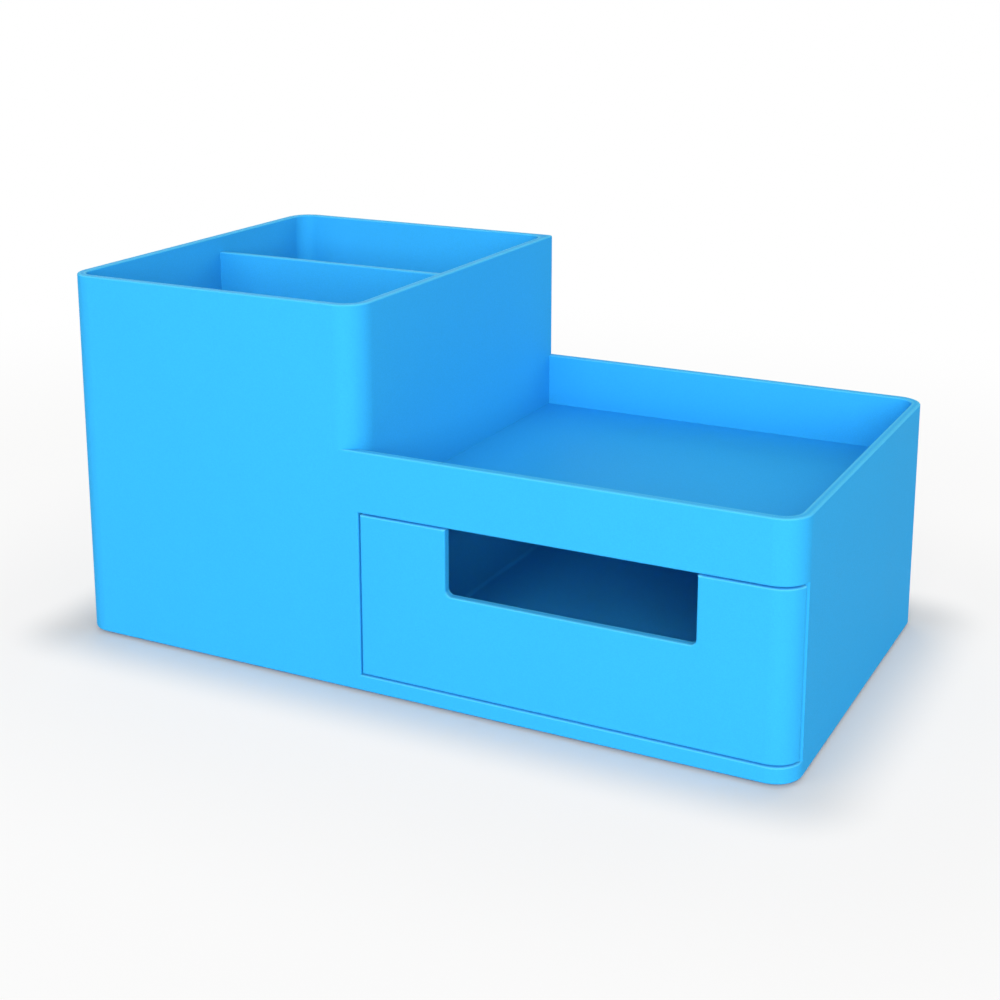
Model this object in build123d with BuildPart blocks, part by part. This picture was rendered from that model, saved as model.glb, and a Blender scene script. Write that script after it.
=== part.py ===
from build123d import *
import os

# Desk organizer moulded in plastic: a pen cup block with one divider on the left, an open tray
# on the right and a drawer under the tray. The drawer's front wraps round the front right corner.
# Millimetres. X runs along the front to the right, Y from the front to the back, Z up.
# The origin is on the desk, under the middle of the body.

# --- body ---
body_width = 203.0
body_depth = 112.0
cup_width = 90.0  # outside width of the pen cup block
cup_height = 100.0  # from the body's bottom edge to the cup's rim
tray_height = 63.5  # from the body's bottom edge to the tray's rim
wall = 2.4  # outer walls, and the wall between the cup and the bay
corner_radius = 7.0  # upright outer corners
edge_radius = 0.4  # rims and seams
cup_back_radius = 1.5  # upright edge of the cup block where it rises from the flat back

# --- base ---
skirt_height = 1.8  # the base plate lies this far above the bottom edge
base_thickness = 2.4
bottom_edge_radius = 0.5

# --- pen cup ---
front_cup_depth = 62.4  # inside, from the front wall to the divider
divider_thickness = 2.0
divider_drop = 4.7  # from the rim down to the divider's top

# --- tray ---
tray_depth = 15.0  # from the rim down to the tray's floor
tray_floor_thickness = 2.0

# --- mouth of the drawer bay ---
apron_height = 15.9  # front wall left above the mouth
mouth_lap = 0.6  # the mouth reaches this far past the bay, to the left
side_return = 5.4  # the drawer's front wraps this far round the corner
front_thickness = 2.4
front_gap = 0.5  # seam round the drawer's front
side_chamfer = 0.8  # bevelled edge of the right wall beside the seam

# --- drawer ---
drawer_wall = 1.8
drawer_floor_thickness = 2.0
drawer_floor_radius = 1.0  # inside, where the floor meets the sides
side_clearance = 0.6  # between the drawer's box and each side of the bay
back_clearance = 0.5
head_clearance = 1.0
running_gap = 0.3  # between the drawer's floor and the runners
runner_height = 0.7
runner_width = 3.0
runner_inset = 12.0  # from the bay's sides to the runners' middles
runner_end_gap = 8.0  # runners stop this far from the mouth and from the back wall

# --- finger notch in the drawer's front ---
notch_width = 65.0
notch_depth = 17.1
notch_corner_radius = 1.6

# --- feet ---
foot_diameter = 12.0
foot_proud = 0.8  # below the body's bottom edge
foot_chamfer = 0.4
foot_inset = 14.0  # from the body's sides to the feet's middles
foot_clearance = 0.2  # round each foot, inside its ring
ring_wall = 1.2
ring_height = 1.0

# Heights above the desk
body_bottom = foot_proud
base_underside = body_bottom + skirt_height
floor_top = base_underside + base_thickness
cup_rim = body_bottom + cup_height
divider_top = cup_rim - divider_drop
tray_rim = body_bottom + tray_height
tray_floor_top = tray_rim - tray_depth
bay_ceiling = tray_floor_top - tray_floor_thickness
mouth_top = tray_rim - apron_height
front_bottom = floor_top + front_gap
front_top = mouth_top - front_gap
drawer_bottom = floor_top + runner_height + running_gap
drawer_floor_top = drawer_bottom + drawer_floor_thickness
drawer_rim = bay_ceiling - head_clearance

# Places in plan
left_side = -body_width / 2
right_side = body_width / 2
front_side = -body_depth / 2
back_side = body_depth / 2
cup_middle = left_side + cup_width / 2
bay_left = left_side + cup_width
bay_right = right_side - wall
bay_back = back_side - wall
mouth_left = bay_left - mouth_lap
front_left = mouth_left + front_gap
inner_radius = corner_radius - wall
divider_front = front_side + wall + front_cup_depth
box_left = bay_left + side_clearance
box_right = bay_right - side_clearance
box_back = bay_back - back_clearance
front_inside = front_side + front_thickness
notch_left = (front_left + right_side - notch_width) / 2
notch_bottom = front_top - notch_depth
past = 1.0  # how far cutters run past the faces that they open
touch = 0.01  # nearer than this, an edge lies on a face

with BuildSketch() as footprint:
    RectangleRounded(body_width, body_depth, corner_radius)
body_outline = footprint.sketch.wire()


def cup_outline():
    # footprint of the cup block, nearly square where its right side meets the flat back
    with BuildSketch() as outline:
        with Locations((cup_middle, 0)):
            Rectangle(cup_width, body_depth)
        corners = outline.vertices()
        back_right = corners.sort_by(Axis.X)[-2:].sort_by(Axis.Y)[-1]
        fillet([corner for corner in corners if corner != back_right], corner_radius)
        fillet(outline.vertices().sort_by(Axis.X)[-2:].sort_by(Axis.Y)[-1], cup_back_radius)
    return outline.sketch


def front_band(thickness, left, reach, spill=0.0):
    # strip along the front, from `left` round the right corner, `reach` deep on the right side
    with BuildSketch() as band:
        RectangleRounded(body_width + 2 * spill, body_depth + 2 * spill, corner_radius + spill)
        RectangleRounded(
            body_width - 2 * thickness,
            body_depth - 2 * thickness,
            max(corner_radius - thickness, edge_radius),
            mode=Mode.SUBTRACT,
        )
        with Locations((left, front_side - spill)):
            Rectangle(
                body_width + spill,
                reach + spill,
                align=(Align.MIN, Align.MIN),
                mode=Mode.INTERSECT,
            )
    return band.sketch


def on_skin(edge):
    # whether an edge lies on the outer face of the body's walls
    middle = edge @ 0.5
    return body_outline.distance_to((middle.X, middle.Y, 0)) < touch


def is_sharp(edge):
    # false for the upright line where a straight wall runs on into the front right corner's arc
    middle = edge @ 0.5
    off_front_seam = abs(middle.X - (right_side - corner_radius))
    off_side_seam = abs(middle.Y - (front_side + corner_radius))
    return min(off_front_seam, off_side_seam) > touch


def edges_within(edges, low, high):
    # the edges whose middles lie in the box between two corners
    for axis, least, most in zip((Axis.X, Axis.Y, Axis.Z), low, high):
        edges = edges.filter_by_position(axis, least - touch, most + touch)
    return edges


def edges_at_height(piece, height):
    # a piece's level edges at one height
    return edges_within(
        piece.edges(),
        (left_side, front_side, height),
        (right_side, back_side, height),
    )


def mouth_edges():
    # the mouth's edges on the outer face of the housing
    return edges_within(
        housing.edges().filter_by(on_skin).filter_by(is_sharp),
        (mouth_left, front_side, floor_top),
        (right_side, front_side + side_return + front_gap, mouth_top),
    )


def plan_box(left, right, front, back):
    # rectangle given by its sides
    with BuildSketch() as box:
        with Locations(((left + right) / 2, (front + back) / 2)):
            Rectangle(right - left, back - front)
    return box.sketch


foot_places = {
    "foot_front_left": (left_side + foot_inset, front_side + foot_inset),
    "foot_front_right": (right_side - foot_inset, front_side + foot_inset),
    "foot_rear_left": (left_side + foot_inset, back_side - foot_inset),
    "foot_rear_right": (right_side - foot_inset, back_side - foot_inset),
}

os.makedirs("parts", exist_ok=True)

# Housing: one moulding
with BuildPart() as housing:
    # lower block up to the tray's rim
    with BuildSketch(Plane.XY.offset(body_bottom)):
        RectangleRounded(body_width, body_depth, corner_radius)
    extrude(amount=tray_height)

    # tray, which also runs round the cup block's rounded corner
    with BuildSketch(Plane.XY.offset(tray_floor_top)):
        RectangleRounded(body_width - 2 * wall, body_depth - 2 * wall, inner_radius)
        add(cup_outline(), mode=Mode.SUBTRACT)
    extrude(amount=tray_depth + past, mode=Mode.SUBTRACT)

    # cup block and its hollow
    with BuildSketch(Plane.XY.offset(body_bottom)):
        add(cup_outline())
    extrude(amount=cup_height)
    with BuildSketch(Plane.XY.offset(floor_top)):
        with Locations((cup_middle, 0)):
            RectangleRounded(cup_width - 2 * wall, body_depth - 2 * wall, inner_radius)
    extrude(amount=cup_rim - floor_top + past, mode=Mode.SUBTRACT)

    # divider between the front and the rear compartment
    with BuildSketch(Plane.XY.offset(floor_top)):
        add(
            plan_box(
                left_side + wall / 2,
                bay_left - wall / 2,
                divider_front,
                divider_front + divider_thickness,
            )
        )
    extrude(amount=divider_top - floor_top)

    # drawer bay
    with BuildSketch(Plane.XY.offset(floor_top)) as bay_plan:
        add(plan_box(bay_left, bay_right, front_side + wall, bay_back))
        fillet(bay_plan.vertices().group_by(Axis.Y)[-1], inner_radius)
    extrude(amount=bay_ceiling - floor_top, mode=Mode.SUBTRACT)

    # its mouth, round the front right corner
    with BuildSketch(Plane.XY.offset(floor_top)):
        add(
            front_band(
                front_thickness + front_gap,
                mouth_left,
                side_return + front_gap,
                spill=past,
            )
        )
    extrude(amount=mouth_top - floor_top, mode=Mode.SUBTRACT)
    chamfer(mouth_edges().filter_by(Axis.Z).sort_by(Axis.Y)[-1], side_chamfer)
    fillet(mouth_edges(), edge_radius)

    # softened rims, divider and bottom edge
    fillet(edges_at_height(housing, cup_rim), edge_radius)
    right_of_cup = bay_left + touch
    fillet(
        edges_at_height(housing, tray_rim).filter_by_position(Axis.X, right_of_cup, right_side),
        edge_radius,
    )
    fillet(edges_at_height(housing, divider_top).filter_by(Axis.X), edge_radius)
    fillet(edges_at_height(housing, body_bottom), bottom_edge_radius)

    # runners that carry the drawer
    with BuildSketch(Plane.XY.offset(floor_top)):
        for runner_middle in (bay_left + runner_inset, bay_right - runner_inset):
            add(
                plan_box(
                    runner_middle - runner_width / 2,
                    runner_middle + runner_width / 2,
                    front_inside + runner_end_gap,
                    bay_back - runner_end_gap,
                )
            )
    extrude(amount=runner_height)

    # hollow under the base plate, with a ring round each foot
    with BuildSketch(Plane.XY.offset(body_bottom)):
        RectangleRounded(body_width - 2 * wall, body_depth - 2 * wall, inner_radius)
    extrude(amount=skirt_height, mode=Mode.SUBTRACT)
    with BuildSketch(Plane.XY.offset(base_underside)):
        with Locations(*foot_places.values()):
            Circle(foot_diameter / 2 + foot_clearance + ring_wall)
            Circle(foot_diameter / 2 + foot_clearance, mode=Mode.SUBTRACT)
    extrude(amount=-ring_height)

housing.part.label = "housing"
export_step(housing.part, "parts/housing.step")

# Drawer: one moulding
with BuildPart() as drawer:
    # front, round the corner
    with BuildSketch(Plane.XY.offset(front_bottom)):
        add(front_band(front_thickness, front_left, side_return))
    extrude(amount=front_top - front_bottom)

    # finger notch, open at the top
    with BuildSketch(Plane.XZ.offset(-front_side + past)) as notch:
        with Locations((notch_left, front_top + past)):
            Rectangle(notch_width, notch_depth + past, align=(Align.MIN, Align.MAX))
        fillet(notch.vertices().group_by(Axis.Z)[0], notch_corner_radius)
    extrude(amount=-(front_thickness + 2 * past), mode=Mode.SUBTRACT)
    fillet(drawer.edges().filter_by(on_skin).filter_by(is_sharp), edge_radius)
    edges_inside = edges_within(
        drawer.edges(),
        (front_left, front_inside, notch_bottom),
        (right_side, front_inside, front_top),
    )
    fillet(edges_inside, edge_radius)

    # box behind it
    with BuildSketch(Plane.XY.offset(drawer_bottom)) as box_plan:
        add(plan_box(box_left, box_right, front_inside, box_back))
        fillet(box_plan.vertices().group_by(Axis.Y)[-1], inner_radius)
        # web that ties the end of the front to the box's side
        add(
            plan_box(
                box_right - drawer_wall,
                bay_right,
                front_inside,
                front_side + side_return,
            )
        )
    extrude(amount=drawer_rim - drawer_bottom)
    with BuildSketch(Plane.XY.offset(drawer_floor_top)) as hollow_plan:
        add(
            plan_box(
                box_left + drawer_wall,
                box_right - drawer_wall,
                front_inside,
                box_back - drawer_wall,
            )
        )
        fillet(
            hollow_plan.vertices().group_by(Axis.Y)[-1],
            max(inner_radius - drawer_wall, edge_radius),
        )
    extrude(amount=drawer_rim - drawer_floor_top + past, mode=Mode.SUBTRACT)
    fillet(edges_at_height(drawer, drawer_floor_top), drawer_floor_radius)
    behind_web = front_side + side_return + touch
    fillet(
        edges_at_height(drawer, drawer_rim).filter_by_position(Axis.Y, behind_web, back_side),
        edge_radius,
    )

drawer.part.label = "drawer"
export_step(drawer.part, "parts/drawer.step")

# Feet: round anti-slip pads under the base plate
for foot_name, (foot_x, foot_y) in foot_places.items():
    with BuildPart() as foot:
        with BuildSketch(Plane.XY):
            with Locations((foot_x, foot_y)):
                Circle(foot_diameter / 2)
        extrude(amount=base_underside)
        chamfer(foot.edges().group_by(Axis.Z)[0], foot_chamfer)
    foot.part.label = foot_name
    export_step(foot.part, f"parts/{foot_name}.step")
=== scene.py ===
import math
import bpy
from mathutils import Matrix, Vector


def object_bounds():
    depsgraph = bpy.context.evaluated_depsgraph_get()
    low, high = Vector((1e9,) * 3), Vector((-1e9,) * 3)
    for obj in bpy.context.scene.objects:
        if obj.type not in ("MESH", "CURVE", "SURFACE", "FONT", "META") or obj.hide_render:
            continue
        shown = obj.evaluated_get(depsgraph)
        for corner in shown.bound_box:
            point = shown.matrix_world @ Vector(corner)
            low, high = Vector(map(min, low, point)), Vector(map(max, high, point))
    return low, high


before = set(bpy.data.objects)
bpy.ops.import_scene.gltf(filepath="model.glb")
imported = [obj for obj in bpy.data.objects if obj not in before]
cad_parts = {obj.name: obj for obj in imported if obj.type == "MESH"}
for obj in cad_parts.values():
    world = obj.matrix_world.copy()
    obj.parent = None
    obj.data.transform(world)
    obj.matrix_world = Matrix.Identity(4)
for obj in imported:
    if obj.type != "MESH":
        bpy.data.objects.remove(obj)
cadLow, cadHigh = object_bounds()
print("frame loaded:", ", ".join(sorted(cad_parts)))

mm = 0.001
white = (1.0, 1.0, 1.0, 1.0)
socketKinds = {"value": "NodeSocketFloat", "colour": "NodeSocketColor", "normal": "NodeSocketVector"}


def newNode(tree, kind, place, inputs=None, **settings):
    node = tree.nodes.new(kind)
    node.location = place
    for name, value in settings.items():
        setattr(node, name, value)
    for label, value in (inputs or {}).items():
        if isinstance(value, bpy.types.NodeSocket):  # what another node puts out is linked
            tree.links.new(value, node.inputs[label])
        else:
            node.inputs[label].default_value = value
    return node


def newMath(tree, place, operation, *values, clamp=False):
    inputs = dict(enumerate(values))
    node = newNode(tree, "ShaderNodeMath", place, inputs, operation=operation, use_clamp=clamp)
    return node.outputs[0]


def newGroup(name, inputs, outputs):
    # inputs give each label its starting value, outputs give each label its kind
    group = bpy.data.node_groups.new(name, "ShaderNodeTree")
    for label, value in inputs.items():
        kind = "colour" if isinstance(value, tuple) else "value"
        socket = group.interface.new_socket(label, in_out="INPUT", socket_type=socketKinds[kind])
        socket.default_value = value
    for label, kind in outputs.items():
        group.interface.new_socket(label, in_out="OUTPUT", socket_type=socketKinds[kind])
    groupIn = newNode(group, "NodeGroupInput", (-900, 0))
    groupOut = newNode(group, "NodeGroupOutput", (900, 0))
    return group, groupIn.outputs, groupOut.inputs


def placeGroup(tree, group, place, **inputs):
    return newNode(tree, "ShaderNodeGroup", place, inputs, node_tree=group)


def newRoughness(tree, place, mask, middle, spread):
    inputs = {"Value": mask, "To Min": middle - spread, "To Max": middle + spread}
    return newNode(tree, "ShaderNodeMapRange", place, inputs).outputs["Result"]


def newBump(tree, place, height, strength, distance, over=None):
    # over is the normal that the bump is laid on, if it isn't the bare surface
    inputs = {"Height": height, "Strength": strength, "Distance": distance}
    if over is not None:
        inputs["Normal"] = over
    return newNode(tree, "ShaderNodeBump", place, inputs).outputs["Normal"]


def newMaterial(name):
    material = bpy.data.materials.new(name)
    material.use_nodes = True
    tree = material.node_tree
    tree.nodes.clear()
    output = newNode(tree, "ShaderNodeOutputMaterial", (700, 0))
    return material, tree, output.inputs["Surface"]


def dress(nodeName, material):
    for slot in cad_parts[nodeName].material_slots:
        slot.material = material


# effects that the materials share

mould = {"grainDetail": 2.0, "waveDetail": 1.0}


def makeMouldGrain():
    # fine spark-eroded texture of the mould, over a slow waviness of the wall
    group, ins, outs = newGroup(
        "mouldGrain",
        {"GrainSize": 0.3 * mm, "WaveSize": 30 * mm},
        {"Grain": "value", "Wave": "value"},
    )
    coords = newNode(group, "ShaderNodeTexCoord", (-900, 250))
    layers = (
        ("GrainSize", "Grain", mould["grainDetail"], 200),
        ("WaveSize", "Wave", mould["waveDetail"], -200),
    )
    for size, out, detail, y in layers:
        scale = newMath(group, (-650, y - 80), "DIVIDE", 1.0, ins[size])
        inputs = {"Vector": coords.outputs["Object"], "Scale": scale, "Detail": detail}
        noise = newNode(group, "ShaderNodeTexNoise", (-400, y), inputs)
        group.links.new(noise.outputs["Fac"], outs[out])
    return group


edges = {
    "rounding": 0.3 * mm,
    "roundingSamples": 4,
    "nearSamples": 8,
    "upFrom": 0.05,  # how far a face turns up before it gets the painted highlight at all
    "upTo": 0.6,  # and fully
}


def makeSoftEdges():
    # softens edges in the shading, and gives the masks for a painted highlight on up-facing rims and painted
    # shade in inner corners
    group, ins, outs = newGroup(
        "softEdges",
        {"Reach": 1 * mm, "Gain": 2.0, "CornerReach": 20 * mm},
        {"Edge": "value", "Corner": "value", "Normal": "normal"},
    )
    bevel = newNode(group, "ShaderNodeBevel", (-600, 300), {"Radius": edges["rounding"]},
                    samples=edges["roundingSamples"])
    group.links.new(bevel.outputs["Normal"], outs["Normal"])

    # seen from inside the wall, an outer edge is the place where other faces are near
    buried = newNode(group, "ShaderNodeAmbientOcclusion", (-600, 50), {"Distance": ins["Reach"]},
                     samples=edges["nearSamples"], inside=True, only_local=True)
    near = newMath(group, (-350, 50), "SUBTRACT", 1.0, buried.outputs["AO"])
    boost = newMath(group, (-100, 50), "MULTIPLY", near, ins["Gain"], clamp=True)
    # painted highlight: only what faces up gets it, so the tops of the rims look lit from above
    coords = newNode(group, "ShaderNodeTexCoord", (-800, -150))
    parts = newNode(group, "ShaderNodeSeparateXYZ", (-600, -150), {0: coords.outputs["Normal"]})
    turn = {"Value": parts.outputs["Z"], "From Min": edges["upFrom"], "From Max": edges["upTo"]}
    upward = newNode(group, "ShaderNodeMapRange", (-350, -150), turn, interpolation_type="SMOOTHSTEP")
    highlightedRims = newMath(group, (150, 0), "MULTIPLY", boost, upward.outputs["Result"])
    group.links.new(highlightedRims, outs["Edge"])

    # painted shade: a mask that darkens the colour near inner corners and recesses, where shade falls
    cover = newNode(group, "ShaderNodeAmbientOcclusion", (-600, -350), {"Distance": ins["CornerReach"]},
                    samples=edges["nearSamples"], only_local=True)
    hidden = newMath(group, (-350, -350), "SUBTRACT", 1.0, cover.outputs["AO"], clamp=True)
    group.links.new(hidden, outs["Corner"])
    return group


pigment = {
    "patchScale": 22.0,  # patches about 45 mm across
    "patchStretch": (1.0, 1.0, 0.25),  # and four times as tall
    "patchDetail": 3.0,
    "paintedHighlight": (0.16, 0.76, 1.0, 1.0),  # painted highlight colour that up-facing rims go to
    "paintedCornerShade": (0.0, 0.20, 0.42, 1.0),  # painted shade colour that inner corners and recesses go to
}
noiseMiddle = 0.5


def makeColourDrift():
    # the pigment is never quite even: slow tall patches, and a speckle from grain to grain; the painted
    # highlight on rims and the painted shade in corners are mixed in after
    group, ins, outs = newGroup(
        "colourDrift",
        {
            "Colour": (0.0, 0.4, 1.0, 1.0),
            "Amount": 0.03,
            "Speckle": noiseMiddle,
            "SpeckleAmount": 0.0,
            "Edge": 0.0,
            "EdgeLift": 0.1,
            "Corner": 0.0,
            "CornerDepth": 0.0,
        },
        {"Colour": "colour", "Patch": "value"},
    )
    coords = newNode(group, "ShaderNodeTexCoord", (-900, 300))
    squeeze = newNode(group, "ShaderNodeMapping", (-700, 300),
                      {"Vector": coords.outputs["Object"], "Scale": pigment["patchStretch"]})
    patch = newNode(group, "ShaderNodeTexNoise", (-500, 300), {
        "Vector": squeeze.outputs["Vector"],
        "Scale": pigment["patchScale"],
        "Detail": pigment["patchDetail"],
    })
    centre = newMath(group, (-300, 300), "SUBTRACT", patch.outputs["Fac"], noiseMiddle)
    amount = newMath(group, (-120, 300), "MULTIPLY", centre, ins["Amount"])
    level = newMath(group, (-300, 500), "SUBTRACT", ins["Speckle"], noiseMiddle)
    speck = newMath(group, (-120, 500), "MULTIPLY_ADD", level, ins["SpeckleAmount"], 1.0)
    value = newMath(group, (80, 300), "ADD", amount, speck)
    shade = newNode(group, "ShaderNodeHueSaturation", (280, 200), {"Color": ins["Colour"], "Value": value})

    # painted highlight: up-facing rims are mixed towards a paler colour, as if lit from above
    paintedHighlightShare = newMath(group, (-120, 100), "MULTIPLY", ins["Edge"], ins["EdgeLift"])
    paintedHighlight = newNode(group, "ShaderNodeMix", (500, 100),
                    {"Factor": paintedHighlightShare, "A": shade.outputs["Color"], "B": pigment["paintedHighlight"]}, data_type="RGBA")
    # painted shade mixed in near inner corners
    sink = newMath(group, (480, -150), "MULTIPLY", ins["Corner"], ins["CornerDepth"])
    paintedCornerShade = newNode(group, "ShaderNodeMix", (700, 100),
                     {"Factor": sink, "A": paintedHighlight.outputs["Result"], "B": pigment["paintedCornerShade"]}, data_type="RGBA")
    group.links.new(paintedCornerShade.outputs["Result"], outs["Colour"])
    group.links.new(patch.outputs["Fac"], outs["Patch"])
    return group


mouldGrain = makeMouldGrain()
softEdges = makeSoftEdges()
colourDrift = makeColourDrift()
print("shared effects built")


# satin moulded plastic, the same for the housing and the drawer

plastic = {
    "colour": (0.038, 0.45, 0.91, 1.0),
    "roughness": 0.55,
    "roughnessSpread": 0.05,
    "specular": 0.015,
    "drift": 0.06,
    "speckle": 0.22,
    "grainSize": 0.30 * mm,
    "grainStrength": 0.6,
    "grainHeight": 0.05 * mm,
    "waveSize": 28 * mm,
    "waveStrength": 0.4,
    "waveHeight": 0.5 * mm,
    "edgeReach": 1.4 * mm,
    "edgeGain": 2.2,
    "paintedHighlightLift": 0.7,
}
# how far the painted corner shade reaches on each piece, and how dark it gets
housing = {"paintedShadeReach": 16 * mm, "paintedShadeDepth": 0.5}
drawer = {"paintedShadeReach": 30 * mm, "paintedShadeDepth": 0.6}


def makePlastic(name, piece):
    material, tree, output = newMaterial(name)
    grain = placeGroup(tree, mouldGrain, (-900, -200),
                       GrainSize=plastic["grainSize"], WaveSize=plastic["waveSize"]).outputs
    edge = placeGroup(tree, softEdges, (-900, 100), Reach=plastic["edgeReach"], Gain=plastic["edgeGain"],
                      CornerReach=piece["paintedShadeReach"]).outputs
    drift = placeGroup(tree, colourDrift, (-600, 300), Colour=plastic["colour"], Amount=plastic["drift"],
                       Speckle=grain["Grain"], SpeckleAmount=plastic["speckle"],
                       Edge=edge["Edge"], EdgeLift=plastic["paintedHighlightLift"],
                       Corner=edge["Corner"], CornerDepth=piece["paintedShadeDepth"]).outputs
    rough = newRoughness(tree, (-300, 100), drift["Patch"], plastic["roughness"], plastic["roughnessSpread"])
    wave = newBump(tree, (-300, -200), grain["Wave"], plastic["waveStrength"], plastic["waveHeight"],
                   over=edge["Normal"])
    fine = newBump(tree, (-80, -200), grain["Grain"], plastic["grainStrength"], plastic["grainHeight"],
                   over=wave)
    surface = newNode(tree, "ShaderNodeBsdfPrincipled", (300, 0), {
        "Base Color": drift["Colour"],
        "Roughness": rough,
        "Specular IOR Level": plastic["specular"],
        "Normal": fine,
    })
    tree.links.new(surface.outputs["BSDF"], output)
    return material


dress("housing", makePlastic("housingPlastic", housing))
dress("drawer", makePlastic("drawerPlastic", drawer))
print("housing and drawer dressed")


# soft rubber pads

feet = {
    "colour": (0.48, 0.50, 0.52, 1.0),
    "roughness": 0.8,
    "roughnessSpread": 0.1,
    "drift": 0.15,
    "grainSize": 0.5 * mm,
    "grainStrength": 0.4,
    "grainHeight": 0.05 * mm,
    "waveSize": 6 * mm,
}


def makeRubber(name):
    material, tree, output = newMaterial(name)
    grain = placeGroup(tree, mouldGrain, (-700, -200),
                       GrainSize=feet["grainSize"], WaveSize=feet["waveSize"]).outputs
    drift = placeGroup(tree, colourDrift, (-500, 200),
                       Colour=feet["colour"], Amount=feet["drift"], EdgeLift=0.0).outputs
    rough = newRoughness(tree, (-200, 50), grain["Wave"], feet["roughness"], feet["roughnessSpread"])
    bump = newBump(tree, (-200, -200), grain["Grain"], feet["grainStrength"], feet["grainHeight"])
    surface = newNode(tree, "ShaderNodeBsdfPrincipled", (200, 0), {
        "Base Color": drift["Colour"],
        "Roughness": rough,
        "Normal": bump,
    })
    tree.links.new(surface.outputs["BSDF"], output)
    return material


rubber = makeRubber("footRubber")
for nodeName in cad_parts:
    if nodeName.startswith("foot_"):
        dress(nodeName, rubber)
print("feet dressed")


# pale floor that turns to plain white away from the object

floor = {
    "size": 8.0,
    "colour": (0.62, 0.61, 0.60, 1.0),
    "seenColour": (0.80, 0.775, 0.745, 1.0),  # for the camera, a little warm against the blue it catches
    "roughness": 0.8,
    "inset": (1.5 * mm, 1.0 * mm),  # how far inside the object's sides the fade to white starts
    "reach": 0.35,
    # share of plain white, from the object outwards; the rest keeps the shadow
    "white": [(0.0, 0.0), (0.07, 0.78), (0.3, 0.88), (1.0, 1.0)],
}


def seesBackdrop(tree, place):
    # camera, glossy and transmission rays
    x, y = place
    path = newNode(tree, "ShaderNodeLightPath", place).outputs
    either = newMath(tree, (x + 200, y), "MAXIMUM", path["Is Camera Ray"], path["Is Glossy Ray"])
    return newMath(tree, (x + 400, y), "MAXIMUM", either, path["Is Transmission Ray"])


def whiteShare(tree):
    # from 0 beside the object to 1 far out, by the distance from its footprint
    footprint = (cadHigh.x - floor["inset"][0], cadHigh.y - floor["inset"][1], 0.0)
    coords = newNode(tree, "ShaderNodeTexCoord", (-1300, 600)).outputs["Object"]
    absolute = newNode(tree, "ShaderNodeVectorMath", (-1100, 600), {0: coords}, operation="ABSOLUTE")
    beyond = newNode(tree, "ShaderNodeVectorMath", (-900, 600), {0: absolute.outputs[0], 1: footprint},
                     operation="SUBTRACT")
    outside = newNode(tree, "ShaderNodeVectorMath", (-700, 600), {0: beyond.outputs[0], 1: (0.0, 0.0, 0.0)},
                      operation="MAXIMUM")
    distance = newNode(tree, "ShaderNodeVectorMath", (-500, 600), {0: outside.outputs[0]}, operation="LENGTH")
    scaled = newMath(tree, (-300, 600), "DIVIDE", distance.outputs["Value"], floor["reach"], clamp=True)
    fade = newNode(tree, "ShaderNodeValToRGB", (-100, 600), {"Fac": scaled})
    fade.color_ramp.interpolation = "EASE"
    stops = fade.color_ramp.elements
    while len(stops) < len(floor["white"]):
        stops.new(0.5)
    for stop, (where, share) in zip(stops, floor["white"]):
        stop.position = where
        stop.color = (share, share, share, 1.0)
    return fade.outputs["Color"]


def makeFloor():
    bpy.ops.object.select_all(action="DESELECT")
    bpy.ops.mesh.primitive_plane_add(size=floor["size"], location=(0, 0, 0))
    plane = bpy.context.object
    plane.name = "floor"
    material, tree, output = newMaterial("floorPaper")
    path = newNode(tree, "ShaderNodeLightPath", (-700, 0))
    seen = {"Factor": path.outputs["Is Camera Ray"], "A": floor["colour"], "B": floor["seenColour"]}
    paper = newNode(tree, "ShaderNodeMix", (-300, 0), seen, data_type="RGBA")
    surface = newNode(tree, "ShaderNodeBsdfPrincipled", (0, 0), {
        "Base Color": paper.outputs["Result"],
        "Roughness": floor["roughness"],
        "Specular IOR Level": 0.0,
    })
    plain = newNode(tree, "ShaderNodeEmission", (0, -250), {"Color": white, "Strength": 1.0})
    share = newMath(tree, (200, 250), "MULTIPLY", seesBackdrop(tree, (-500, 300)), whiteShare(tree))
    mix = newNode(tree, "ShaderNodeMixShader", (400, 0),
                  {0: share, 1: surface.outputs["BSDF"], 2: plain.outputs["Emission"]})
    tree.links.new(mix.outputs["Shader"], output)
    plane.data.materials.append(material)


makeFloor()
print("floor laid")


# soft boxes round the object, in an even white room

# turn is measured from straight in front towards the right, height from the floor's plane, in degrees
lamps = {
    "key": {"turn": 20, "height": 20, "power": 18.0},
    "side": {"turn": 65, "height": 20, "power": 2.9},
    "fill": {"turn": -30, "height": 30, "power": 2.2},
    "backRight": {"turn": 160, "height": 25, "power": 4.8},
    "backLeft": {"turn": -140, "height": 20, "power": 4.2},
}
softbox = {"side": 0.8, "reach": 1.5, "aim": (0.0, 0.0, 0.05)}
room = {"light": 0.35, "seen": 1.0}


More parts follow.
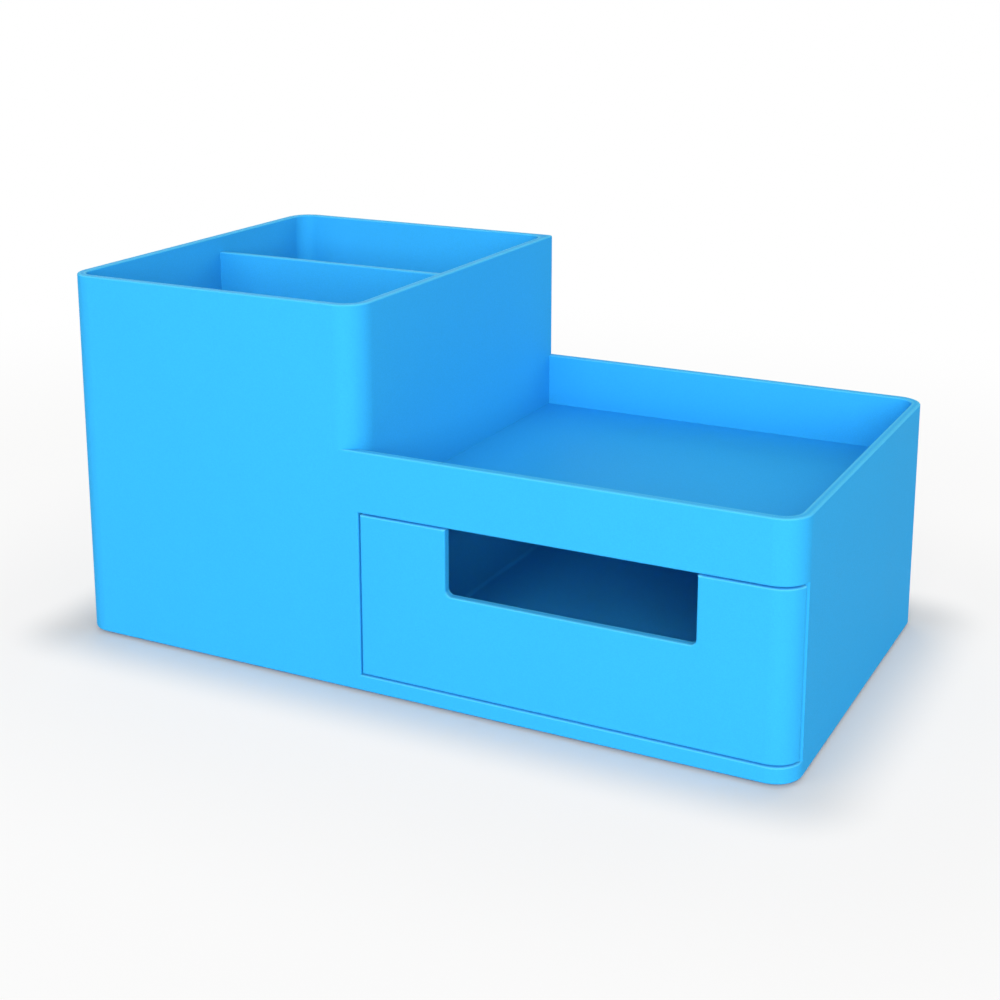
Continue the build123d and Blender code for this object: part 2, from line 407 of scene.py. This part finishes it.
def hangLamp(name, turn, height, power):
    light = bpy.data.lights.new(name, "AREA")
    light.shape = "SQUARE"
    light.size = softbox["side"]
    light.energy = power
    lamp = bpy.data.objects.new(name, light)
    bpy.context.scene.collection.objects.link(lamp)
    around, up = math.radians(turn), math.radians(height)
    out = Vector((math.sin(around) * math.cos(up), -math.cos(around) * math.cos(up), math.sin(up)))
    aim = Vector(softbox["aim"])
    lamp.location = aim + out * softbox["reach"]
    lamp.rotation_euler = (aim - lamp.location).to_track_quat("-Z", "Y").to_euler()


def makeRoom():
    world = bpy.data.worlds.new("studio")
    bpy.context.scene.world = world
    world.use_nodes = True
    tree = world.node_tree
    tree.nodes.clear()
    ambient = newNode(tree, "ShaderNodeBackground", (0, 0), {"Color": white, "Strength": room["light"]})
    backdrop = newNode(tree, "ShaderNodeBackground", (0, -200), {"Color": white, "Strength": room["seen"]})
    pick = newNode(tree, "ShaderNodeMixShader", (250, 0),
                   {0: seesBackdrop(tree, (-600, 300)), 1: ambient.outputs[0], 2: backdrop.outputs[0]})
    newNode(tree, "ShaderNodeOutputWorld", (450, 0), {"Surface": pick.outputs[0]})


for lampName, lamp in lamps.items():
    hangLamp(lampName, **lamp)
makeRoom()
print("lamps hung")


camera = {
    "place": (0.2002, -0.3950, 0.1890),
    "turn": 26.99,
    "tilt": -12.92,
    "lens": 60.84,
    "sensor": 36.0,
    "shift": -0.18,
    "near": 0.01,
    "far": 50.0,
}


def placeCamera():
    lens = bpy.data.cameras.new("camera")
    lens.lens = camera["lens"]
    lens.sensor_width = camera["sensor"]
    lens.shift_y = camera["shift"]
    lens.clip_start = camera["near"]
    lens.clip_end = camera["far"]
    eye = bpy.data.objects.new("camera", lens)
    bpy.context.scene.collection.objects.link(eye)
    eye.location = camera["place"]
    eye.rotation_euler = (math.radians(90 + camera["tilt"]), 0.0, math.radians(camera["turn"]))
    bpy.context.scene.camera = eye


placeCamera()
bpy.context.scene.view_settings.view_transform = "Standard"
print("camera placed")
